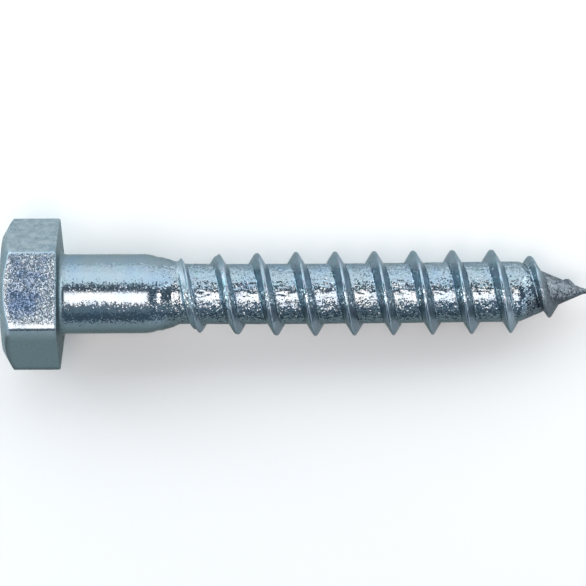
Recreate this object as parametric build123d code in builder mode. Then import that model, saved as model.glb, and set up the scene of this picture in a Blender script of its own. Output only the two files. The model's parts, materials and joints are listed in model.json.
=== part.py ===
"""Hex-head lag screw: one forged and thread-rolled piece of plated steel.

The screw is drawn standing on its head: its axis is Z, the bearing face under the head is at
z = 0, the head is below it, and the shank, the thread and the gimlet point run up +Z. It is then
laid down as it rests on a flat surface, on one flat of the head and on the thread's crest.

Frame of the finished part, in millimetres: origin on the screw's axis at the bearing face,
+X towards the point, +Z up.
"""
import os
from math import atan2, ceil, cos, degrees, pi, radians, sin, tan

from build123d import *

os.makedirs("parts", exist_ok=True)

# ---- head ----------------------------------------------------------------------------------
ACROSS_FLATS = 12.6
HEAD_HEIGHT = 5.3
HEX_CORNER_RADIUS = 0.25
CROWN_DIAMETER = 11.2        # flat circle left on the crown inside its chamfer
CROWN_CHAMFER_DEG = 30.0
BEARING_EDGE_BREAK = 0.1     # chamfer round the bearing face

# ---- shank and neck ------------------------------------------------------------------------
LENGTH = 50.0                # bearing face to tip
SHANK_DIAMETER = 7.54
SHANK_LENGTH = 8.3           # bearing face to the end of the plain shank
UNDERHEAD_RADIUS = 0.35
NECK_DEG = 13.5              # gentle slope from the plain shank towards the thread's root
NECK_SHARE = 0.62            # share of the step down to the root that has the gentle slope
NECK_FOOT_DEG = 28.0         # slope of the rest of that step

# ---- lag thread, right-handed --------------------------------------------------------------
THREAD_DIAMETER = 8.04
ROOT_DIAMETER = 5.74
PITCH = 3.7
FLANK_DEG = 30.5             # each flank, from a plane across the axis
CREST_LAND = 0.24            # width of the flat on the crest, where the ridge is full
ROOT_BLEND = 0.1             # height of the shallower foot where a flank meets the root
ROOT_BLEND_DEG = 58.0        # slope of that foot, from a plane across the axis
RIDGE_DEPTH = 0.2            # how far the ridge's base reaches into the solid under it
THREAD_START = 1.1           # from the end of the plain shank to the start of the ridge
START_SUNK = 0.08            # how far under the neck's surface the crest starts
START_BREADTH = 0.7          # how far its low crest is broader, 1.0 keeping the full ridge's foot
RUNOUT_TURNS = 3.4           # turns over which the ridge grows to its full height
TAPER_TURNS = 0.5            # turns before the point's cone where the ridge starts to get lower
THREAD_TURN_DEG = 171.0      # where the ridge meets that cone, round from the head's upper flat

# ---- gimlet point --------------------------------------------------------------------------
POINT_DEG = 23.1             # half-angle of the solid cone under the thread
TIP_RADIUS = 0.15
CONE_RISE = 0.88             # ridge height at the start of the cone, as a share of full height
FADE_START = 0.47            # share of the cone's length where the ridge starts to fade fast
FADE_RISE = 0.74             # ridge height there, as a share of full height
FADE_END = 0.73              # share of the cone's length where the ridge has run out
END_RISE = 0.06              # ridge height there, as a share of full height

# ---- sizes that follow ---------------------------------------------------------------------
flat_r = ACROSS_FLATS / 2
shank_r = SHANK_DIAMETER / 2
root_r = ROOT_DIAMETER / 2
crest_r = THREAD_DIAMETER / 2
crown_r = CROWN_DIAMETER / 2
full_rise = crest_r - root_r

neck_step = shank_r - root_r
knee_r = shank_r - NECK_SHARE * neck_step
knee_z = SHANK_LENGTH + NECK_SHARE * neck_step / tan(radians(NECK_DEG))
neck_end_z = knee_z + (1 - NECK_SHARE) * neck_step / tan(radians(NECK_FOOT_DEG))

cone_slope = tan(radians(POINT_DEG))
cone_length = (root_r - TIP_RADIUS) / cone_slope
cone_z = LENGTH - TIP_RADIUS - cone_length

thread_z = SHANK_LENGTH + THREAD_START
start_rise = shank_r - THREAD_START * tan(radians(NECK_DEG)) - START_SUNK - root_r
straight_turns = (cone_z - thread_z) / PITCH
cone_turns = FADE_END * cone_length / PITCH
fade_turns = FADE_START * cone_length / PITCH
flank = tan(radians(FLANK_DEG))


def rise_at(turn):
    """Height of the ridge round the root, this many turns after it leaves the neck."""
    growing = start_rise + (full_rise - start_rise) * turn / RUNOUT_TURNS
    before_cone = (straight_turns - turn) / TAPER_TURNS
    falling = full_rise * (CONE_RISE + (1 - CONE_RISE) * before_cone)
    return min(full_rise, growing, falling)


def crest_radius(turn):
    """Radius of the crest, this many turns after the neck, as far as the fade on the cone."""
    if turn <= straight_turns:
        return root_r + rise_at(turn)
    share = (turn - straight_turns) / fade_turns
    rise = full_rise * (CONE_RISE + (FADE_RISE - CONE_RISE) * share)
    return root_r - (turn - straight_turns) * PITCH * cone_slope + rise


# The screw lies on the bearing edge of its lower flat and on the lowest crest under it. The
# crest passes under the axis once in each turn.
first_under = (straight_turns + 0.5 - THREAD_TURN_DEG / 360) % 1.0
turns_under = [first_under + n for n in range(ceil(straight_turns + fade_turns - first_under))]
rest_deg = min(degrees(atan2(flat_r - crest_radius(turn), thread_z + turn * PITCH))
               for turn in turns_under)


def across(turn):
    """The plane through the screw's axis, this many turns round from the ridge's end."""
    angle = 2 * pi * turn
    return Plane(origin=(0, 0, 0), x_dir=(cos(angle), sin(angle), 0),
                 z_dir=(sin(angle), -cos(angle), 0))


def ridge_outline(surface_r, z, rise, half_crest, blend_deg, depth):
    """The ridge cut through the axis, as (radius, z) points, with its base inside the core."""
    foot = min(ROOT_BLEND, rise / 2)
    half_foot = half_crest + (rise - foot) * flank
    half_base = half_foot + (foot + depth) * tan(radians(blend_deg))
    return [
        (surface_r - depth, z - half_base),
        (surface_r + foot, z - half_foot),
        (surface_r + rise, z - half_crest),
        (surface_r + rise, z + half_crest),
        (surface_r + foot, z + half_foot),
        (surface_r - depth, z + half_base),
    ]


def root_outline(turn):
    """The ridge's outline round the root: broad while it is low, its foot gone at the cone."""
    rise = rise_at(turn)
    low = full_rise - rise if turn < RUNOUT_TURNS else 0
    before_cone = min(1, (straight_turns - turn) / TAPER_TURNS)
    return ridge_outline(root_r, thread_z + turn * PITCH, rise,
                         half_crest=CREST_LAND / 2 + START_BREADTH * low * flank,
                         blend_deg=FLANK_DEG + (ROOT_BLEND_DEG - FLANK_DEG) * before_cone,
                         depth=RIDGE_DEPTH)


def cone_outline(turn, rise):
    """The ridge's outline round the cone, deep enough for its base to stay under the slope."""
    half_foot = CREST_LAND / 2 + rise * flank
    return ridge_outline(root_r - turn * PITCH * cone_slope, cone_z + turn * PITCH, rise,
                         half_crest=CREST_LAND / 2, blend_deg=FLANK_DEG,
                         depth=RIDGE_DEPTH + half_foot * cone_slope / (1 - flank * cone_slope))


def ridge_along_root(first_turn, last_turn):
    """A stretch of the right-hand ridge round the root, at most about one turn long."""
    with BuildPart() as ridge:
        with BuildLine():
            Helix(pitch=PITCH, height=(last_turn - first_turn) * PITCH, radius=root_r,
                  center=(0, 0, thread_z + first_turn * PITCH))
        for turn in (first_turn, last_turn):
            with BuildSketch(across(turn - first_turn)):
                with BuildLine():
                    Polyline(root_outline(turn), close=True)
                make_face()
        sweep(is_frenet=True, multisection=True)
    return ridge.part


def ridge_round_cone(first_turn, last_turn, first_rise, last_rise):
    """The ridge carried on round the cone of the point, counting turns from the cone's start."""
    with BuildPart() as ridge:
        with BuildLine():
            Helix(pitch=PITCH / cos(radians(POINT_DEG)), height=(last_turn - first_turn) * PITCH,
                  radius=root_r - first_turn * PITCH * cone_slope,
                  center=(0, 0, cone_z + first_turn * PITCH), cone_angle=-POINT_DEG)
        for turn, rise in ((first_turn, first_rise), (last_turn, last_rise)):
            with BuildSketch(across(turn - first_turn)):
                with BuildLine():
                    Polyline(cone_outline(turn, rise * full_rise), close=True)
                make_face()
        sweep(is_frenet=True, multisection=True)
    return ridge.part


def stretches(first_turn, last_turn):
    """Equal stretches of no more than a turn, as (first turn, last turn) pairs."""
    count = ceil(last_turn - first_turn)
    step = (last_turn - first_turn) / count
    return [(first_turn + n * step, first_turn + (n + 1) * step) for n in range(count)]


# Solid under the thread: half the head's height as a hub, then shank, neck, root and cone.
with BuildPart() as core:
    with BuildSketch(Plane.XZ):
        with BuildLine():
            Polyline((shank_r + UNDERHEAD_RADIUS, 0),
                     (shank_r + UNDERHEAD_RADIUS, -HEAD_HEIGHT / 2),
                     (0, -HEAD_HEIGHT / 2),
                     (0, LENGTH))
            RadiusArc((0, LENGTH), (TIP_RADIUS, LENGTH - TIP_RADIUS), TIP_RADIUS)
            Polyline((TIP_RADIUS, LENGTH - TIP_RADIUS),
                     (root_r, cone_z),
                     (root_r, neck_end_z),
                     (knee_r, knee_z),
                     (shank_r, SHANK_LENGTH),
                     (shank_r, UNDERHEAD_RADIUS))
            RadiusArc((shank_r, UNDERHEAD_RADIUS), (shank_r + UNDERHEAD_RADIUS, 0),
                      UNDERHEAD_RADIUS)
        make_face()
    revolve(axis=Axis.Z)

# Lathe-turned blank of the head: the chamfered crown is what is left inside it.
with BuildPart() as crown_blank:
    with BuildSketch(Plane.XZ):
        with BuildLine():
            outer_r = ACROSS_FLATS
            drop = (outer_r - crown_r) * tan(radians(CROWN_CHAMFER_DEG))
            Polyline((0, 1), (outer_r, 1), (outer_r, -HEAD_HEIGHT + drop),
                     (crown_r, -HEAD_HEIGHT), (0, -HEAD_HEIGHT), close=True)
        make_face()
    revolve(axis=Axis.Z)

# Hexagonal head, with two of its flats facing +X and -X.
with BuildPart() as head:
    with BuildSketch(Plane.XY.offset(-HEAD_HEIGHT)) as hexagon:
        RegularPolygon(radius=flat_r, side_count=6, major_radius=False, rotation=30)
        fillet(hexagon.vertices(), radius=HEX_CORNER_RADIUS)
    extrude(amount=HEAD_HEIGHT)
    chamfer(head.faces().sort_by(Axis.Z)[-1].edges(), length=BEARING_EDGE_BREAK)
    add(crown_blank.part, mode=Mode.INTERSECT)

# The whole screw, upright. Each stretch of ridge starts where the one before it ends.
with BuildPart() as upright:
    add(core.part)
    lengths = []
    for first, last in (stretches(0, RUNOUT_TURNS)
                        + stretches(RUNOUT_TURNS, straight_turns - TAPER_TURNS)
                        + stretches(straight_turns - TAPER_TURNS, straight_turns)):
        turned = THREAD_TURN_DEG - 360 * (straight_turns - first)
        lengths.append(ridge_along_root(first, last).rotate(Axis.Z, turned))
    for first, last, first_rise, last_rise in (
            (0, fade_turns, CONE_RISE, FADE_RISE), (fade_turns, cone_turns, FADE_RISE, END_RISE)):
        turned = THREAD_TURN_DEG + 360 * first
        on_cone = ridge_round_cone(first, last, first_rise, last_rise)
        lengths.append(on_cone.rotate(Axis.Z, turned))
    add(lengths)
    add(head.part)

# Laid down: the axis turns to +X, dipping towards the point, with a flat of the head on top.
dip = radians(rest_deg)
lying = Plane(origin=(0, 0, 0), x_dir=(sin(dip), 0, cos(dip)), z_dir=(cos(dip), 0, -sin(dip)))
with BuildPart() as lag_screw:
    add(upright.part.moved(lying.location))

lag_screw.part.label = "lag_screw"
export_step(lag_screw.part, "parts/lag_screw.step")
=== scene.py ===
"""A zinc-plated hex-head lag screw, lying on a pale floor under soft studio light.

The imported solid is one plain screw. It is drawn again here as one fine skin: Geometry Nodes wrap
a grid of columns (round the axis) and rows (from the crown of the head to the tip) into the whole
screw. In the thread the rows follow the helix, so that the crest, the flanks and the foot of the
ridge run along them. Lengths inside the node trees are in millimetres.
"""
import json
from math import cos, pi, radians, sin, tan

import bpy
from mathutils import Matrix, Vector


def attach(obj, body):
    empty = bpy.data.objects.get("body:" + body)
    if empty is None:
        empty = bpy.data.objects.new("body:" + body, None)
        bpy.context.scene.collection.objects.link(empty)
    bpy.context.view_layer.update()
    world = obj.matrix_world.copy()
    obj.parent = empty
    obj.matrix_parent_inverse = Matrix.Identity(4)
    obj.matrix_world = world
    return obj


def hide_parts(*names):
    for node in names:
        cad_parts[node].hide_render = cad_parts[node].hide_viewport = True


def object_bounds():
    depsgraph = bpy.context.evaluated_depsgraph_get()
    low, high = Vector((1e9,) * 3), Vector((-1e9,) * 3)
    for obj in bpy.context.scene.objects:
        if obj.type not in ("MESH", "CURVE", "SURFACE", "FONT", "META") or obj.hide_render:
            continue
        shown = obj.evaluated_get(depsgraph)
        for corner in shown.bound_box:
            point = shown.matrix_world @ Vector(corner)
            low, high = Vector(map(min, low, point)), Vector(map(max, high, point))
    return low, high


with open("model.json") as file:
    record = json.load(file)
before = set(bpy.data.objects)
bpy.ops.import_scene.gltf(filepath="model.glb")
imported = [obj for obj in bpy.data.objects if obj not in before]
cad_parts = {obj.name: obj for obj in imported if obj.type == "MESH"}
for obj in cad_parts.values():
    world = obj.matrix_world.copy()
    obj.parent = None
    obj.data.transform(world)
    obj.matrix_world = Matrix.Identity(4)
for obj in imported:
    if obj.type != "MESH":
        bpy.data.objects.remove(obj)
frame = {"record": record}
cad_low, cad_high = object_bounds()

MM = 0.001
mounts = {mount["name"]: mount for mount in frame["record"]["mounts"]}
AXIS = Vector(mounts["lag_thread"]["axis"]).normalized()
LENGTH = Vector(mounts["lag_thread"]["pos_m"]).length / MM
HEAD_HEIGHT = Vector(mounts["hex_head"]["pos_m"]).length / MM
SHANK_DIAMETER = 2 * mounts["shank"]["dims"]["r_mm"]

# The screw's own directions as it lies: along it, out of its upper flat, and out of its side.
UP = Vector((-AXIS.z, 0, AXIS.x))
SIDE = AXIS.cross(UP)

ACROSS_FLATS = 12.6
ROOT_DIAMETER = 5.74
NECK_START = 8.3                       # end of the plain shank
NECK_ANGLE, NECK_SHARE = radians(13.5), 0.62
PITCH = 3.7
THREAD_START = 9.4
START_SUNK = 0.08                      # how far under the neck's surface the crest starts
TIP_RADIUS = 0.15
POINT_ANGLE = radians(23.1)
NECK_STEP = (SHANK_DIAMETER - ROOT_DIAMETER) / 2
CONE_LENGTH = (ROOT_DIAMETER / 2 - TIP_RADIUS) / tan(POINT_ANGLE)
CONE_START = LENGTH - TIP_RADIUS - CONE_LENGTH

SIZES = {
    "Head height": HEAD_HEIGHT,
    "Across flats": ACROSS_FLATS,
    "Crown diameter": 11.2,
    "Crown chamfer": radians(30),
    "Edge break": 0.1,
    "Corner softness": 0.32,
    "Edge roll": 0.07,                 # how far each flat falls away towards one of its edges
    "Underhead radius": 0.65,
    "Length": LENGTH,
    "Shank diameter": SHANK_DIAMETER,
    "Shank length": NECK_START,
    "Neck angle": NECK_ANGLE,
    "Knee radius": SHANK_DIAMETER / 2 - NECK_SHARE * NECK_STEP,
    "Neck foot angle": radians(28),
    "Thread diameter": 8.04,
    "Root diameter": ROOT_DIAMETER,
    "Pitch": PITCH,
    "Flank angle": radians(30.5),
    "Crest land": 0.15,
    "Start rise": NECK_STEP - (THREAD_START - NECK_START) * tan(NECK_ANGLE) - START_SUNK,
    "Start breadth": 0.7,
    "Start dome": 0.75,
    "Run-out turns": 3.4,
    "Taper turns": 0.5,
    "Straight turns": (CONE_START - THREAD_START) / PITCH,
    "Thread turn": 171 / 360,
    "Cone start": CONE_START,
    "Fade start turns": 0.47 * CONE_LENGTH / PITCH,
    "Fade end turns": 0.76 * CONE_LENGTH / PITCH,
    "Point angle": POINT_ANGLE,
    "Tip radius": 0.26,
    "Bow": 0.1,                        # how far the thread bends to one side
}
SEED = 7


class Wire:
    """A node's output. Python's arithmetic on it adds Math nodes to its board."""

    def __init__(self, board, socket):
        self.board, self.socket = board, socket

    def maths(self, operation, *others):
        return self.board.maths(operation, self, *others)

    def __add__(self, other):
        return self.maths("ADD", other)

    def __sub__(self, other):
        return self.maths("SUBTRACT", other)

    def __rsub__(self, other):
        return self.board.maths("SUBTRACT", other, self)

    def __mul__(self, other):
        return self.maths("MULTIPLY", other)

    def __truediv__(self, other):
        return self.maths("DIVIDE", other)

    def __rtruediv__(self, other):
        return self.board.maths("DIVIDE", other, self)

    def __pow__(self, other):
        return self.maths("POWER", other)

    def __neg__(self):
        return self * -1

    def __abs__(self):
        return self.maths("ABSOLUTE")

    __radd__, __rmul__ = __add__, __mul__

    def clamp(self, low=0.0, high=1.0):
        return self.maths("MAXIMUM", low).maths("MINIMUM", high)

    def over(self, level):
        return self.maths("GREATER_THAN", level)

    def grows(self, start, width):
        """0 up to a start, then rising to 1 over a width."""
        return ((self - start) / width).clamp()

    def fades(self, end, width):
        """Falling from 1 to 0 over the width before an end."""
        return ((end - self) / width).clamp()

    def hump(self, middle, half_width):
        """1 in the middle, falling along a curve to 0 at half a width to each side."""
        return (1 - ((self - middle) / half_width) ** 2.0).clamp()


class Board:
    """A node tree that is being wired up."""

    def __init__(self, tree):
        self.tree = tree

    def node(self, kind, settings=None, sockets=None, output=0):
        """Adds a node, makes its settings first, then fills its sockets with values or wires."""
        made = self.tree.nodes.new(kind)
        for name, value in (settings or {}).items():
            setattr(made, name, value)
        for name, value in (sockets or {}).items():
            if isinstance(value, Wire):
                self.tree.links.new(value.socket, made.inputs[name])
            else:
                made.inputs[name].default_value = value
        return Wire(self, made.outputs[output]) if made.outputs else made

    def maths(self, operation, *values):
        return self.node("ShaderNodeMath", {"operation": operation}, dict(enumerate(values)))

    def vector_maths(self, operation, *vectors, output=0):
        return self.node("ShaderNodeVectorMath", {"operation": operation},
                         dict(enumerate(vectors)), output)

    def dot(self, vector, way):
        """How far a vector reaches along a direction."""
        return self.vector_maths("DOT_PRODUCT", vector, tuple(way), output="Value")

    def scaled(self, vector, factor):
        return self.node("ShaderNodeVectorMath", {"operation": "SCALE"},
                         {0: vector, "Scale": factor})

    def vector(self, x, y, z):
        return self.node("ShaderNodeCombineXYZ", None, {0: x, 1: y, 2: z})

    def parts(self, vector):
        """The three numbers of a vector."""
        first = self.node("ShaderNodeSeparateXYZ", None, {0: vector})
        return [Wire(self, socket) for socket in first.socket.node.outputs]

    def noise(self, vector, scale, detail=2.0, roughness=0.5, distortion=0.0, output=0):
        return self.node("ShaderNodeTexNoise", None, {
            "Vector": vector, "Scale": scale, "Detail": detail, "Roughness": roughness,
            "Distortion": distortion}, output)


# ---- the screw's skin ------------------------------------------------------------------------
COLUMNS = 240
PER_TURN = 28          # rows in one turn of the thread
THREAD_FROM = 8.6      # height where the rows start to follow the helix
TURNS_BEFORE = 10      # turns of rows laid out before the cone's start
TURNS_AFTER = 2.5      # and after it, up to the last stretch of the point

# Rows of each leg of the outline, from the crown's centre to the tip.
LEGS = {"crown": 5, "crown_edge": 1, "chamfer_in": 1, "chamfer": 4, "chamfer_out": 1,
        "flat_in": 1, "flat": 12, "flat_out": 1, "break": 2, "bearing_in": 1, "bearing": 4,
        "fillet": 6, "shank": 16, "thread": round(PER_TURN * (TURNS_BEFORE + TURNS_AFTER)),
        "point": 3, "tip": 5}
EDGE = 0.07            # width of the narrow rows that keep an edge crisp
CORNER_COLUMNS = 5     # columns to each side of a corner that are drawn in towards it,
CORNER_SHARE = 0.4     # and the share of their width that they keep
ROLLED_SIDE = -1       # the flats fall away on this side of each corner,
ROLL_WIDTH = 0.7       # over this width

# Rows of half a turn: crest, its edge, flank, foot, and the root up to the middle between turns.
CREST_ROWS, LIP_ROWS, FLANK_ROWS, FOOT_ROWS, ROOT_ROWS = 2, 1, 2, 3, 6
LIP_WIDTH = 0.08       # widest that the row at the crest's edge gets
FOOT_WIDTH = 0.12      # width of the rows just past the ridge's foot
LEAST_RISE = 0.05      # rise that the rows are laid out for where the ridge has run out
POINT_STRETCH = 0.45   # last stretch of the point, past the rows of the thread

# Ridge height along the cone, as shares of the full height: at its start, where the ridge starts
# to fade fast, and at the end of the fade.
CONE_RISE, FADE_RISE, END_RISE = 0.88, 0.74, 0.2

# How softly one form runs into the next.
NECK_BLEND, ROOT_BLEND, CONE_BLEND, TIP_BLEND = 0.1, 0.15, 0.2, 0.1
CREST_BLEND, RIDGE_BLEND = 0.07, 0.15

# A shallow wave in the neck: its start after the plain shank, its length and its height.
WAVE_START, WAVE_LENGTH, WAVE_HEIGHT = 0.55, 1.2, 0.045

# The first turns of the ridge, which aren't fully rolled.
EARLY_TURNS = 2.4
SHOULDER_DROP, FAR_SHOULDER_DROP = 0.35, 0.3
SEAM_AT, SEAM_HALF, SEAM_DEPTH = -0.02, 0.15, 0.1

# Marks of forging and rolling.
LUMP_HEIGHT, LUMP_SINK = 0.03, 0.012
PIT_DEPTH = 0.25
DENT_DEPTH = 0.045
BOW_LENGTH = 28.5      # length over which the thread bends out and back


def thread_tree(material):
    """The node tree that draws the screw, with a named input for each of its sizes."""
    tree = bpy.data.node_groups.new("rolled lag screw", "GeometryNodeTree")
    for name in SIZES:
        tree.interface.new_socket(name, in_out="INPUT", socket_type="NodeSocketFloat")
    tree.interface.new_socket("Seed", in_out="INPUT", socket_type="NodeSocketFloat")
    tree.interface.new_socket("Screw", in_out="OUTPUT", socket_type="NodeSocketGeometry")
    board = Board(tree)
    entry = tree.nodes.new("NodeGroupInput")
    size = {name: Wire(board, entry.outputs[name]) for name in [*SIZES, "Seed"]}
    node, maths = board.node, board.maths

    rows = sum(LEGS.values())
    grid = node("GeometryNodeMeshGrid", None, {
        "Size X": COLUMNS, "Size Y": rows, "Vertices X": COLUMNS + 1, "Vertices Y": rows + 1})
    across, along, _ = board.parts(node("GeometryNodeInputPosition"))
    column, row = across + COLUMNS / 2, along + rows / 2
    column, row = column.maths("ROUND"), row.maths("ROUND")

    first_row, count = {}, 0
    for leg, length in LEGS.items():
        first_row[leg] = count
        count += length

    def progress(leg, start=0, end=None):
        """How far a row is through a leg of the outline, from 0 to 1."""
        end = LEGS[leg] if end is None else end
        return ((row - (first_row[leg] + start)) / (end - start)).clamp()

    # Sizes that follow.
    flat_r, crown_r = size["Across flats"] / 2, size["Crown diameter"] / 2
    shank_r, root_r = size["Shank diameter"] / 2, size["Root diameter"] / 2
    full_rise = size["Thread diameter"] / 2 - root_r
    fillet, edge_break = size["Underhead radius"], size["Edge break"]
    flank = size["Flank angle"].maths("TANGENT")
    cone_slope = size["Point angle"].maths("TANGENT")
    tip_r, length = size["Tip radius"], size["Length"]
    pitch = size["Pitch"]

    # Round the head: columns are drawn in towards the six corners, to round them finely. Each
    # column's radius is the nearer of the two flats that meet at its corner.
    per_side = COLUMNS // 6
    from_corner = maths("PINGPONG", column - per_side / 2, per_side / 2)
    by_corner = (from_corner / CORNER_COLUMNS).clamp()
    rest = from_corner.grows(CORNER_COLUMNS, per_side / 2 - CORNER_COLUMNS)
    drawn = (by_corner * CORNER_COLUMNS * CORNER_SHARE
             + rest * (per_side / 2 - CORNER_COLUMNS * CORNER_SHARE))
    side_of = maths("WRAP", column - per_side / 2, -per_side / 2, per_side / 2)
    towards = side_of.maths("SIGN")
    on_shank = progress("bearing")
    shift = towards * (drawn - from_corner) * (1 - on_shank)
    angle = (column + shift) * (2 * pi / COLUMNS)
    corner_angle = drawn * (2 * pi / COLUMNS)
    flat_a = flat_r / (pi / 6 - corner_angle).maths("COSINE")
    flat_b = flat_r / (pi / 6 + corner_angle).maths("COSINE")
    from_edge = flat_r * (tan(pi / 6) - (pi / 6 - corner_angle).maths("TANGENT"))
    past_edge = flat_r * ((pi / 6 + corner_angle).maths("TANGENT") - tan(pi / 6))
    rolled_edge = (towards * ROLLED_SIDE).over(0.0)
    roll_a = (1 - from_edge / ROLL_WIDTH).clamp() ** 2.0 * rolled_edge
    roll_b = (1 + past_edge / ROLL_WIDTH).clamp(0.0, 2.0) ** 2.0 * (1 - rolled_edge)
    hexagon = maths("SMOOTH_MIN", flat_a - size["Edge roll"] * roll_a,
                    flat_b - size["Edge roll"] * roll_b, size["Corner softness"])

    # Outline of the head as rows: radius and height at the end of each leg.
    chamfer_rise = size["Crown chamfer"].maths("TANGENT")
    crown_z = -size["Head height"]
    chamfer_z = crown_z + (hexagon - crown_r) * chamfer_rise
    inner, outer = crown_r + EDGE, hexagon - EDGE
    seat_r = shank_r + fillet
    outline = [
        ("crown", crown_r - EDGE, crown_z),
        ("crown_edge", crown_r, crown_z),
        ("chamfer_in", inner, crown_z + EDGE * chamfer_rise),
        ("chamfer", outer, chamfer_z - EDGE * chamfer_rise),
        ("chamfer_out", hexagon, chamfer_z),
        ("flat_in", hexagon, chamfer_z + EDGE),
        ("flat", hexagon, -edge_break - EDGE),
        ("flat_out", hexagon, -edge_break),
        ("break", hexagon - edge_break, 0.0),
        ("bearing_in", hexagon - edge_break - EDGE, 0.0),
        ("bearing", seat_r, 0.0),
    ]
    radius, height = 0.0, crown_z
    last_r, last_z = 0.0, crown_z
    for leg, end_r, end_z in outline:
        share = progress(leg)
        radius = radius + share * (end_r - last_r)
        height = height + share * (end_z - last_z)
        last_r, last_z = end_r, end_z
    turn_in = progress("fillet") * (pi / 2)
    head_radius = radius - fillet * turn_in.maths("SINE")
    height = height + fillet * (1 - turn_in.maths("COSINE"))
    height = height + progress("shank") * (THREAD_FROM - fillet)

    # Rows of the thread: which turn of the ridge is nearest, and how far along from its crest.
    thread_row = (row - first_row["thread"]).clamp(0.0, LEGS["thread"])
    turns = thread_row / PER_TURN - TURNS_BEFORE
    nearest = turns.maths("ROUND")
    side = (turns - nearest).maths("SIGN")
    steps = abs(turns - nearest) * PER_TURN
    turn = nearest + column / COLUMNS - size["Thread turn"]     # counted from the cone's start
    from_start = turn + size["Straight turns"]
    crest_z = size["Cone start"] + turn * pitch
    on_cone = turn.maths("MAXIMUM", 0.0)

    growing = (size["Start rise"]
               + (full_rise - size["Start rise"]) * from_start / size["Run-out turns"])
    fade_turns, cone_turns = size["Fade start turns"], size["Fade end turns"]
    falling = full_rise * (CONE_RISE - (1 - CONE_RISE) * turn / size["Taper turns"])
    on_slope = full_rise * (CONE_RISE + (FADE_RISE - CONE_RISE) / fade_turns * turn)
    fading = full_rise * (FADE_RISE + (END_RISE - FADE_RISE) / (cone_turns - fade_turns)
                          * (turn - fade_turns))
    rise = maths("MINIMUM", maths("MINIMUM", full_rise, growing),
                 maths("MINIMUM", maths("MAXIMUM", falling, on_slope), fading))
    crest_r = root_r - on_cone * pitch * cone_slope + rise
    low = (full_rise - rise).maths("MAXIMUM", 0.0) * (size["Run-out turns"] - from_start).over(0)
    broadening = from_start.grows(0.3, 0.7)
    half_crest = size["Crest land"] / 2 + size["Start breadth"] * low * flank * broadening

    shown_rise = rise.maths("MAXIMUM", LEAST_RISE)
    lean = (turn.over(0.0) * side) * flank * cone_slope
    half_foot = half_crest + shown_rise * flank / (1 - lean)
    lip = ((half_foot - half_crest) / 4).maths("MINIMUM", LIP_WIDTH)
    offset, reached, rows_done = 0.0, 0.0, 0
    for until, step_rows in ((half_crest, CREST_ROWS), (half_crest + lip, LIP_ROWS),
                             (half_foot - lip, FLANK_ROWS), (half_foot + FOOT_WIDTH, FOOT_ROWS),
                             (pitch / 2, ROOT_ROWS)):
        offset = offset + (until - reached) * ((steps - rows_done) / step_rows).clamp()
        reached, rows_done = until, rows_done + step_rows
    thread_end = length - POINT_STRETCH
    thread_z = (crest_z + side * offset).maths("MAXIMUM", THREAD_FROM).maths("MINIMUM", thread_end)

    in_thread = (row - first_row["thread"]).over(0.5)
    height = height + in_thread * (thread_z - height)
    tip_z = length - tip_r
    height = height + progress("point") * (tip_z - thread_end)

    # The body under the ridge, from its height: shank, neck, root and cone.
    below_head = (row - first_row["shank"]).over(-0.5)
    neck = shank_r - (height - size["Shank length"]) * size["Neck angle"].maths("TANGENT")
    knee_z = (size["Shank length"]
              + (shank_r - size["Knee radius"]) / size["Neck angle"].maths("TANGENT"))
    foot = size["Knee radius"] - (height - knee_z) * size["Neck foot angle"].maths("TANGENT")
    body = maths("SMOOTH_MIN", maths("SMOOTH_MIN", shank_r, neck, NECK_BLEND), foot, NECK_BLEND)
    body = maths("SMOOTH_MAX", body, root_r, ROOT_BLEND)
    wave_share = (height - size["Shank length"] - WAVE_START) / WAVE_LENGTH
    in_wave = (wave_share * (1 - wave_share) * 8).clamp()
    wave = (wave_share * 2 * pi).maths("SINE") * in_wave
    body = body - WAVE_HEIGHT * wave * below_head
    cone = root_r - (height - size["Cone start"]) * cone_slope
    cone = maths("SMOOTH_MAX", cone, tip_r, TIP_BLEND)
    body = maths("SMOOTH_MIN", body, cone, CONE_BLEND)

    # The ridge, with rounded crest and foot. Its first turns are low and not fully rolled: the
    # crest is a dome near the point's side, and a seam parts it from a lower shoulder.
    from_crest = height - crest_z
    off_crest = abs(from_crest)
    early = (1 - from_start / EARLY_TURNS).clamp()
    dome = from_crest.hump(0.28 * early, half_crest + 0.1 - 0.17 * early)
    dome_rise = (size["Start dome"] * low - START_SUNK).maths("MAXIMUM", 0.0)
    crest = crest_r - SHOULDER_DROP * early * early + dome_rise * dome
    crest = crest - FAR_SHOULDER_DROP * early * early * from_crest.fades(0.1, 0.25)
    flank_line = crest_r - (off_crest - half_crest) / flank
    ridge = maths("SMOOTH_MIN", crest, flank_line, CREST_BLEND)
    seam = from_crest.hump(SEAM_AT, SEAM_HALF)
    ridge = ridge - SEAM_DEPTH * seam * seam * early
    threaded = maths("SMOOTH_MAX", body, ridge, RIDGE_BLEND)

    radius = head_radius + below_head * (threaded - head_radius)
    round_tip = progress("tip") * (pi / 2)
    height = height + tip_r * round_tip.maths("SINE")
    at_tip = (row - first_row["tip"]).over(0.5)
    radius = radius + at_tip * (tip_r * round_tip.maths("COSINE") - radius)

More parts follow.
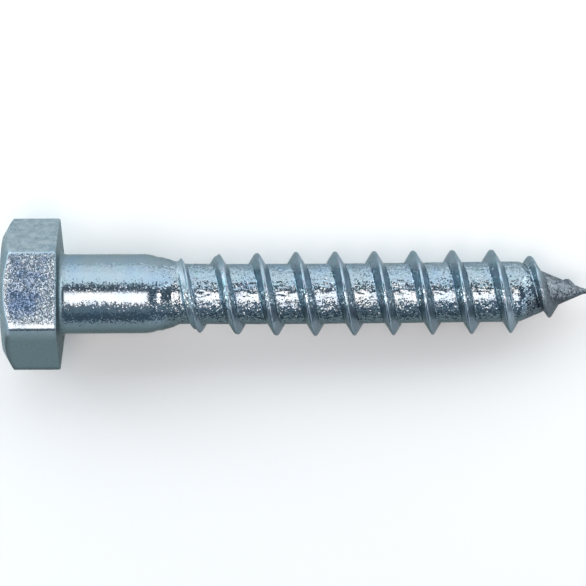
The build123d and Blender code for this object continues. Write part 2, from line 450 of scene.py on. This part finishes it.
    # Marks of forging and rolling: low lumps everywhere, pits where the root was rolled, and
    # dents along the ridge. They die out towards the crown's centre and the tip.
    place = board.vector(radius * angle.maths("COSINE"), radius * angle.maths("SINE"), height)
    seeded = board.vector_maths("ADD", place, board.vector(*[size["Seed"]] * 3))
    streaked = board.vector_maths("MULTIPLY", seeded, (1.0, 1.0, 0.45))
    lumps = board.noise(seeded, 0.6, 2.0) - 0.5
    dimples = board.noise(streaked, 2.2, 2.5, 0.55)
    ridge_share = ((threaded - body) / full_rise).clamp() * below_head * (1 - at_tip)
    rolled = (height.grows(THREAD_FROM, 1.5) * (1 - ridge_share * 4).clamp()
              * height.fades(tip_z, 2))
    pits = PIT_DEPTH * (dimples - 0.5).maths("MAXIMUM", 0.0) * rolled
    dents = DENT_DEPTH * (dimples - 0.6) * (ridge_share * 3).clamp()
    lumpy = (1 - at_tip) * (0.3 + 0.7 * (height / size["Shank length"]).clamp())
    marks = dents - pits + (LUMP_HEIGHT * lumps - LUMP_SINK) * lumpy
    radius = radius + marks * (radius / 0.3).clamp()

    # The threaded length is a little bent.
    bend = ((height - size["Shank length"]) / BOW_LENGTH).clamp(0.0, 2.0)
    bow = size["Bow"] * (bend * pi).maths("SINE") * (1 - 0.3 * bend)

    # Where handling has rubbed the grain flat: the head's corners and rims, the strips where its
    # flats fall away, and the thread's crest.
    on_head = 1 - (row - first_row["flat_out"]).over(0.5)
    on_flats = (row - first_row["chamfer_out"]).over(0.5)
    corner = (1 - from_edge / 0.18).clamp()
    strip = from_edge.fades(0.75, 0.3) * rolled_edge * 0.7
    rim = (1 - abs(height - chamfer_z) / 0.2).clamp()
    on_edge = (corner.maths("MAXIMUM", strip) * on_flats).maths("MAXIMUM", rim) * on_head
    rubbed = on_edge.maths("MAXIMUM", (ridge_share * 16 - 15).clamp())

    screw_x = radius * angle.maths("COSINE")
    screw_y = radius * angle.maths("SINE") + bow

    def lying(index):
        return (screw_x * UP[index] + screw_y * SIDE[index] + height * AXIS[index]) * MM

    moved = node("GeometryNodeSetPosition", None, {
        "Geometry": grid, "Position": board.vector(lying(0), lying(1), lying(2))})
    marked = grid
    for name, value in (("ridge", ridge_share), ("rubbed", rubbed)):
        marked = node("GeometryNodeStoreNamedAttribute", {"data_type": "FLOAT", "domain": "POINT"},
                      {"Geometry": marked, "Name": name, "Value": value})
    tree.links.new(marked.socket, moved.socket.node.inputs["Geometry"])
    closed = node("GeometryNodeMergeByDistance", None,
                  {"Geometry": moved, "Distance": 0.0005 * MM})
    smooth = node("GeometryNodeSetShadeSmooth", None, {"Geometry": closed})
    realized = node("GeometryNodeRealizeInstances", None, {"Geometry": smooth})
    coated = node("GeometryNodeSetMaterial", None, {"Geometry": realized, "Material": material})
    leave = tree.nodes.new("NodeGroupOutput")
    tree.links.new(coated.socket, leave.inputs["Screw"])
    return tree


def plain_mesh(name, tree, values):
    """Runs a node tree with its inputs set, and keeps the result as a plain mesh."""
    maker = bpy.data.objects.new(name + "_maker", bpy.data.meshes.new(name + "_maker"))
    bpy.context.scene.collection.objects.link(maker)
    modifier = maker.modifiers.new("rolling", "NODES")
    modifier.node_group = tree
    for item in tree.interface.items_tree:
        if item.in_out == "INPUT" and item.name in values:
            modifier[item.identifier] = float(values[item.name])
    evaluated = maker.evaluated_get(bpy.context.evaluated_depsgraph_get())
    mesh = bpy.data.meshes.new_from_object(evaluated)
    maker.modifiers.remove(modifier)
    bpy.data.objects.remove(maker)
    piece = bpy.data.objects.new(name, mesh)
    mesh.name = name
    bpy.context.scene.collection.objects.link(piece)
    return piece


# ---- materials -------------------------------------------------------------------------------
def new_material(name):
    material = bpy.data.materials.new(name)
    material.use_nodes = True
    material.node_tree.nodes.clear()
    return material, Board(material.node_tree)


def finish_material(board, surface):
    board.node("ShaderNodeOutputMaterial", None, {"Surface": surface})


def mixed(board, amount, under, over):
    """A colour between two colours. Each is an RGB colour or a wire."""
    under, over = (colour if isinstance(colour, Wire) else (*colour, 1)
                   for colour in (under, over))
    factor, first, second, result = 0, 6, 7, 2       # the Mix node's sockets for colours
    return board.node("ShaderNodeMix", {"data_type": "RGBA"},
                      {factor: amount, first: under, second: over}, result)


# Colours of the zinc, of its passivation, of dark specks and of the worn steel of the point.
# Several are painted light and shade: painted light on the far flat, on the far half of the first
# ridge and on the flanks that face the point, a painted highlight on the upper rim, painted glints,
# and painted shade down the near side, on the near flat's edges, under the head and on the near
# halves of the point and the first ridge.
GREY, BLUE, TEAL = (0.22, 0.285, 0.325), (0.19, 0.27, 0.345), (0.2, 0.31, 0.34)
VIOLET, DEEP_TEAL_AND_SHADE = (0.25, 0.27, 0.34), (0.13, 0.21, 0.235)
FIRST_RIDGE_PAINTED_LIGHT, POINTWARD_PAINTED_LIGHT = (0.38, 0.49, 0.55), (0.32, 0.4, 0.48)
HEAD_GREY, SILVER_BLUE, NAVY = (0.26, 0.33, 0.355), (0.25, 0.335, 0.39), (0.09, 0.155, 0.255)
FAR_FLAT_PAINTED_LIGHT, NEAR_SIDE_PAINTED_SHADE, RIM_PAINTED_HIGHLIGHT = (0.36, 0.43, 0.47), (0.125, 0.178, 0.195), (0.41, 0.53, 0.61)
NEAR_EDGE_PAINTED_SHADE, UNDER_HEAD_PAINTED_SHADE = (0.05, 0.06, 0.07), (0.11, 0.16, 0.175)
STEEL, POINT_PAINTED_SHADE = (0.14, 0.162, 0.182), (0.06, 0.066, 0.075)
PAINTED_GLINT, SPECK_AND_PAINTED_SHADE, DARK_SPOT = (0.75, 0.88, 0.93), (0.06, 0.075, 0.09), (0.05, 0.07, 0.08)
EDGE_TINT = (0.6, 0.66, 0.66, 1)       # how the metal tints light that grazes it

FLAT_HEIGHT = ACROSS_FLATS / 2         # upper flat, from the screw's axis
FLAT_HALF = 3.6                        # half the width of a flat, inside its rounded corners
LINE_AT = 0.3                          # where the bright line runs along the screw, off its top


def zinc_plating():
    """Bright zinc with a blue passivation: fine crystals that sparkle, and uneven blue tints.

    Where each tint lies comes from masks between 0 and 1. They are made from the place on the
    screw (along it, above its axis and towards its near side, in millimetres), from the two
    marks that its skin carries, and for one coat from the way the surface faces. Several coats
    are painted light and shade: sides made paler or darker, a painted highlight on the upper
    rim and painted glints where the bright line runs.
    """
    material, board = new_material("zinc_plated_steel")
    mm = board.scaled(board.node("ShaderNodeTexCoord", output="Object"), 1 / MM)
    along, above, near = (board.dot(mm, way) for way in (AXIS, UP, SIDE))
    on_ridge, rubbed = (board.node("ShaderNodeAttribute", {"attribute_name": name}, output="Fac")
                        for name in ("ridge", "rubbed"))

    # The screw's parts.
    head, crown = along.fades(0.1, 0.2), along.fades(0.35 - HEAD_HEIGHT, 0.05)
    thread = along.grows(THREAD_START, 1.5)
    neck = along.grows(NECK_START, 0.8) * (1 - thread)
    neck_foot = along.grows(10.5, 0.15) * along.fades(11.35, 0.1)
    ridge = (on_ridge * 4).clamp() * thread
    root = thread * (1 - on_ridge * 3).clamp()
    first_ridge = ridge * along.fades(15, 4)
    cone = along.grows(CONE_START + 1.5, 1.0)
    taper = along.grows(CONE_START + 0.2, 0.6) * (1 - 0.6 * ridge)
    # Just under the head: painted shade lies here, and it is rougher and speckled.
    under_head = along.grows(-0.03, 0.03) * along.fades(0.8, 0.8)

    # The head's flats and rim, without the crown, and the sides of the rest.
    off_crown = 1 - crown
    upper_flat = above.grows(FLAT_HEIGHT - 0.15, 0.1) * head * (1 - rubbed)
    flat_middle = near.hump(0, FLAT_HALF) * along.hump(-HEAD_HEIGHT / 2, 2.6)
    # Where the far flat is painted paler, as painted light.
    far_flat = near.fades(-FLAT_HALF - 0.05, 0.2) * head * off_crown
    # Where the near flat's rubbed edges are painted dark.
    near_flat = near.grows(FLAT_HALF, 0.2) * head * off_crown
    # Where a painted highlight runs along the upper rim.
    upper_rim = rubbed * along.fades(-4.0, 0.3) * above.grows(5.2, 0.4) * off_crown
    # Where the near side is painted darker, as painted shade, growing towards it.
    near_side = (near - 2.4 - 1.2 * head + 0.8 * root).clamp() * off_crown
    # Halves towards the near side, for painted shade and light: the first ridge darker on its near
    # half and paler on its far half, and the point darker on its near half.
    lower_half, dark_half = near.grows(-1, 2), near.grows(0.1, 0.8)
    top_line = abs(near - LINE_AT).fades(0.616, 0.28) * (1 - head) * (1 - cone)
    # The band of the bright line: painted glints lie in it, and its crystals tip further.
    lit_band = abs(near - 2 * LINE_AT).fades(1.125, 0.75) * (ridge + neck).clamp() * (1 - cone)

    # Patterns, from the widest to the finest.
    patches = board.noise(mm, 0.45, 2.0) - 0.5
    clouds = board.noise(mm, 0.5, 3.0) - 0.5
    tints = board.noise(mm, 0.9, 2.0) - 0.5
    mottled = board.noise(mm, 1.6, 3.0, 0.6) - 0.5
    blotches = board.noise(mm, 2.4, 3.0, 0.6) - 0.5
    uneven = board.noise(mm, 3.4, 2.5, 0.6, output="Color")
    grain = board.noise(mm, 5.0, 2.0, 0.6)
    crystals = board.node("ShaderNodeTexVoronoi", {"feature": "F1"},
                          {"Vector": mm, "Scale": 9.0}, "Color")
    glint = board.parts(crystals)[0] - 0.5
    spots = ((grain - 0.53) * 9).clamp()
    # Where pale glints are painted.
    painted_glints = ((0.49 - grain) * 14 + 2.5 * glint).clamp()

    normal = board.node("ShaderNodeNewGeometry", output="Normal")
    lengthways, sideways = board.dot(normal, AXIS), board.dot(normal, SIDE)

    # Coats of colour, each laid over those before it: its colour, and where it lies. Several of
    # them are painted light and shade.
    navy = 0.02 + flat_middle * 0.8 + patches * 3 + mottled * 1.5 + 0.5 * glint
    flat_coat = mixed(board, navy.clamp(), SILVER_BLUE, NAVY)
    coat = mixed(board, ((clouds + 0.12) * 3.5).clamp(), GREY, BLUE)
    for colour, where in (
            (TEAL, (tints * 4).clamp() * 0.5 + ridge * 0.5),
            (VIOLET, (0.3 + blotches * 5).clamp() * ridge),
            # Random deep-teal mottling on the ridge, and painted shade on the near half of the
            # first ridge.
            (DEEP_TEAL_AND_SHADE, (0.2 - mottled * 4).clamp() * ridge * 0.6
             + first_ridge * lower_half * 0.35),
            # Painted light: the far half of the first ridge made paler.
            (FIRST_RIDGE_PAINTED_LIGHT, first_ridge * (1 - lower_half) * 0.5),
            (HEAD_GREY, (0.4 + mottled * 2.5).clamp() * head),
            (flat_coat, upper_flat),
            # Painted light: the far flat made paler.
            (FAR_FLAT_PAINTED_LIGHT, far_flat * (0.45 + mottled * 3).clamp()),
            # Painted shade: darker down the near side.
            (NEAR_SIDE_PAINTED_SHADE, near_side),
            # Painted light: the ridge's flanks that face the point made paler.
            (POINTWARD_PAINTED_LIGHT, ((lengthways - 0.2) * 1.2).clamp() * ridge),
            # Painted shade: the rubbed edges of the near flat made nearly black.
            (NEAR_EDGE_PAINTED_SHADE, near_flat * rubbed * 0.7),
            # Painted highlight along the upper rim.
            (RIM_PAINTED_HIGHLIGHT, upper_rim * 0.6),
            # Painted shade under the head.
            (UNDER_HEAD_PAINTED_SHADE, under_head * 0.6),
            (STEEL, cone * 0.85),
            # Painted shade on the near half of the point.
            (POINT_PAINTED_SHADE, dark_half * taper * 0.65),
            # Painted glints: pale flecks in the band where the bright line runs.
            (PAINTED_GLINT, painted_glints * lit_band * 0.8),
            (DARK_SPOT, spots * under_head * 0.4),
            # Dark specks in the root and on the point, laid thicker down the near side as painted
            # shade, and as dark painted glints in the band of the bright line.
            (SPECK_AND_PAINTED_SHADE, spots * (root * (0.25 + 0.55 * near_side) + 0.8 * cone
                            + 0.5 * lit_band).clamp())):
        coat = mixed(board, where, coat, colour)

    # The root's highlight is spread sideways, and the neck's foot is levelled.
    normal = board.vector_maths("SUBTRACT", normal,
                                board.scaled(tuple(SIDE), sideways * 0.25 * root))
    normal = board.vector_maths("SUBTRACT", normal, board.scaled(
        tuple(AXIS), lengthways * 0.85 * neck_foot * (1 - ridge)))

    # Each crystal tips the surface its own way, a few of them far, and the rolled root is uneven
    # besides. What is rubbed, and the bright line between the turns, is smoother.
    middle = (0.5, 0.5, 0.5)
    leaning = board.scaled(board.vector_maths("SUBTRACT", crystals, middle), 2.0)
    squared = board.vector_maths("MULTIPLY", leaning, leaning)
    strongly = board.vector_maths("MULTIPLY", board.vector_maths("MULTIPLY", squared, squared),
                                  leaning)
    uneven = board.vector_maths("SUBTRACT", uneven, middle)
    unworn = (1 - 0.85 * rubbed) * (1 - 0.7 * top_line * (1 - ridge))
    lit_ridge = lit_band * ridge
    for tipping, strength in (
            (leaning, 0.03 + 0.04 * head + 0.12 * (upper_flat + crown)),
            (strongly, 0.15 - 0.12 * head + 0.2 * root + 0.1 * ridge + 0.15 * neck
             + 0.5 * lit_ridge),
            (uneven, 0.04 + 0.1 * head + 0.85 * root + 0.28 * ridge + 0.15 * neck
             + 0.2 * lit_ridge)):
        normal = board.vector_maths("ADD", normal, board.scaled(tipping, strength * unworn))
    normal = board.vector_maths("NORMALIZE", normal)

    rough = (0.18 + 0.08 * clouds + 0.06 * head + 0.12 * ridge + 0.14 * cone
             + 0.1 * head * glint - 0.12 * rubbed * ridge + 0.2 * under_head
             + 0.05 * upper_flat + 0.12 * first_ridge)
    finish_material(board, board.node("ShaderNodeBsdfPrincipled", None, {
        "Base Color": coat, "Metallic": 1.0, "Roughness": rough, "Normal": normal,
        "Specular Tint": EDGE_TINT}))
    return material


def pale_floor():
    material, board = new_material("pale_floor")
    finish_material(board, board.node("ShaderNodeBsdfPrincipled", None, {
        "Base Color": (0.7, 0.745, 0.755, 1), "Roughness": 0.9, "Specular IOR Level": 0.1}))
    return material


# ---- the pieces ------------------------------------------------------------------------------
zinc = zinc_plating()
screw = plain_mesh("plated_screw", thread_tree(zinc), {**SIZES, "Seed": SEED})

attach(screw, "root")
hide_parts("lag_screw")

FLOOR_REACH = 3.0
floor_mesh = bpy.data.meshes.new("floor")
floor_z = cad_low.z
floor_mesh.from_pydata([(-FLOOR_REACH, -FLOOR_REACH, floor_z), (FLOOR_REACH, -FLOOR_REACH, floor_z),
                        (FLOOR_REACH, FLOOR_REACH, floor_z), (-FLOOR_REACH, FLOOR_REACH, floor_z)],
                       [], [(0, 1, 2, 3)])
floor_mesh.materials.append(pale_floor())
floor = bpy.data.objects.new("floor", floor_mesh)
bpy.context.scene.collection.objects.link(floor)


# ---- camera ----------------------------------------------------------------------------------
def place_at(thing, location, right, up):
    """Puts a camera or a lamp in its place, given what its picture's right and top point to."""
    right, up = right.normalized(), up.normalized()
    thing.matrix_world = Matrix.Translation(location) @ Matrix(
        (right, up, right.cross(up))).transposed().to_4x4()


CAMERA_ALONG = 22.04 * MM     # over this place on the screw's axis
CAMERA_AWAY = 312.8 * MM
CAMERA_ROUND = radians(3)     # turned this far round the axis from straight over the upper flat
CAMERA_ROLL = radians(0.25)
SENSOR = 36.0
VIEW_WIDTH = 55.545 * MM      # width of the picture at the screw's axis

camera_data = bpy.data.cameras.new("camera")
camera_data.sensor_width = SENSOR
camera_data.lens = SENSOR * CAMERA_AWAY / VIEW_WIDTH
camera_data.clip_start = 0.01
camera = bpy.data.objects.new("camera", camera_data)
bpy.context.scene.collection.objects.link(camera)
towards_camera = UP * cos(CAMERA_ROUND) + SIDE * sin(CAMERA_ROUND)
picture_up = towards_camera.cross(AXIS)
place_at(camera, AXIS * CAMERA_ALONG + towards_camera * CAMERA_AWAY,
         AXIS * cos(CAMERA_ROLL) - picture_up * sin(CAMERA_ROLL),
         picture_up * cos(CAMERA_ROLL) + AXIS * sin(CAMERA_ROLL))
bpy.context.scene.camera = camera


# ---- light -----------------------------------------------------------------------------------
def softbox(name, across, tilt_from, tilt_to, away, length, radiance, colour):
    """A rectangular lamp turned to the screw. Its two long edges are seen from the screw at
    these angles from straight up, leaning the way that across points."""
    middle = radians((tilt_from + tilt_to) / 2)
    width = 2 * away * tan(radians(tilt_to - tilt_from) / 2)
    lamp = bpy.data.lights.new(name, "AREA")
    lamp.shape, lamp.size, lamp.size_y = "RECTANGLE", length, width
    lamp.energy = radiance * pi * length * width
    lamp.color = colour
    made = bpy.data.objects.new(name, lamp)
    bpy.context.scene.collection.objects.link(made)
    out = across * sin(middle) + Vector((0, 0, 1)) * cos(middle)
    level = across.cross(Vector((0, 0, 1)))
    place_at(made, SCREW_MIDDLE + out * away, level, out.cross(level))
    made.visible_camera = False


SCREW_MIDDLE = AXIS * CAMERA_ALONG      # what the lamps are turned to
FAR_SIDE, NEAR_SIDE = Vector((0, 1, 0)), Vector((0, -1, 0))
HEAD_END, POINT_END = Vector((-1, 0, 0)), Vector((1, 0, 0))
WARM, PLAIN, COOL = (1.0, 0.77, 0.68), (1.0, 0.98, 0.97), (0.82, 0.94, 1.0)
softbox("overhead_lamp", FAR_SIDE, -32, 1, 0.7, 0.38, 5.0, WARM)
softbox("far_side_lamp", FAR_SIDE, 25, 62, 0.14, 0.5, 2.15, PLAIN)
softbox("far_low_lamp", FAR_SIDE, 62, 88, 0.14, 0.5, 1.75, PLAIN)
softbox("near_side_lamp", NEAR_SIDE, 38, 60, 0.6, 0.9, 0.3, COOL)
softbox("head_end_lamp", HEAD_END, 46, 80, 0.6, 0.75, 3.0, COOL)
softbox("point_end_lamp", POINT_END, 58, 85, 0.6, 0.75, 2.6, PLAIN)

world = bpy.data.worlds.new("studio")
bpy.context.scene.world = world
world.use_nodes = True
world.node_tree.nodes["Background"].inputs["Color"].default_value = (0.58, 0.79, 1.0, 1)
world.node_tree.nodes["Background"].inputs["Strength"].default_value = 0.25
bpy.context.scene.view_settings.view_transform = "Standard"
